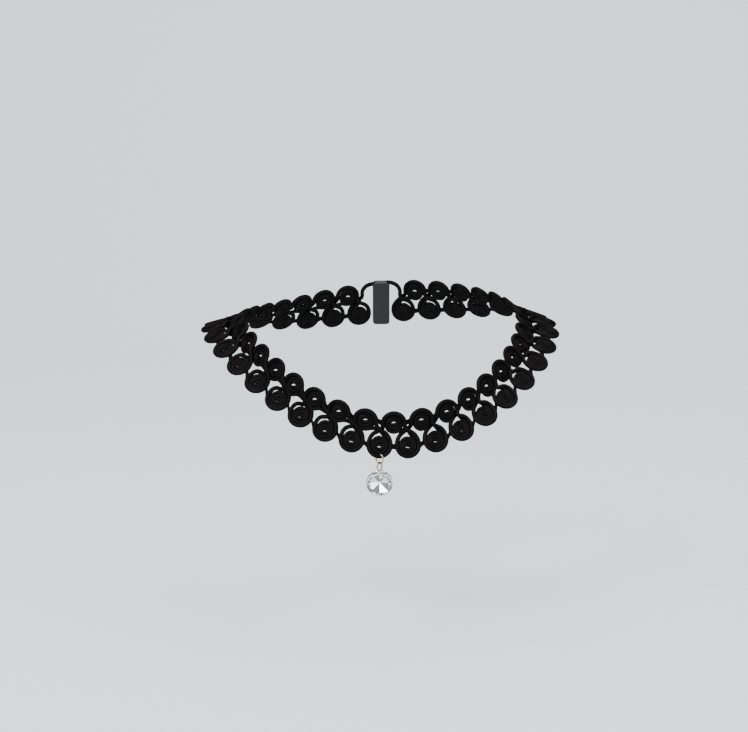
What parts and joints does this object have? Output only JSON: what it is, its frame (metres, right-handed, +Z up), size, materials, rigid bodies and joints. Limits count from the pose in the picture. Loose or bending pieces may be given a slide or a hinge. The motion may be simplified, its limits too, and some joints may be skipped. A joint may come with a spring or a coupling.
{
  "type": "choker necklace",
  "caption": "Black corded lace choker of small coiled loops in rows, with a faceted clear crystal drop hung from its front on linked jump rings.",
  "frame": {"origin": "middle of the neck opening, level with the mean height of the trim's middle line, where the choker sits on the neck", "axes": "+Z up, -Y to the front where the drop hangs, +X to the right as seen from the front"},
  "size_m": [0.1632, 0.1352, 0.0814],
  "materials": {
    "outer_cord": "matte velvety black cord",
    "coil_cord": "matte black wound cord",
    "clasp": "plain satin black",
    "ring_metal": "aged gold wire, lightly worn",
    "crystal": "clear polished, faceted"
  },
  "bodies": {
    "lace": {"outer_cord_left": "outer_cord", "outer_cord_right": "outer_cord", "upper_coils_left": "coil_cord", "upper_coils_right": "coil_cord", "lower_coils_left": "coil_cord", "lower_coils_right": "coil_cord", "back_clasp": "clasp"},
    "drop": {"jump_ring_upper": "ring_metal", "jump_ring_lower": "ring_metal", "crystal_drop": "crystal"}
  },
  "joints": [
    {"name": "drop_swing", "type": "hinge", "parent": "lace", "child": "drop", "pos_m": [-0.00039, -0.0649, -0.03993], "axis": [1, 0, 0], "range_deg": [-90, 45]}
  ]
}
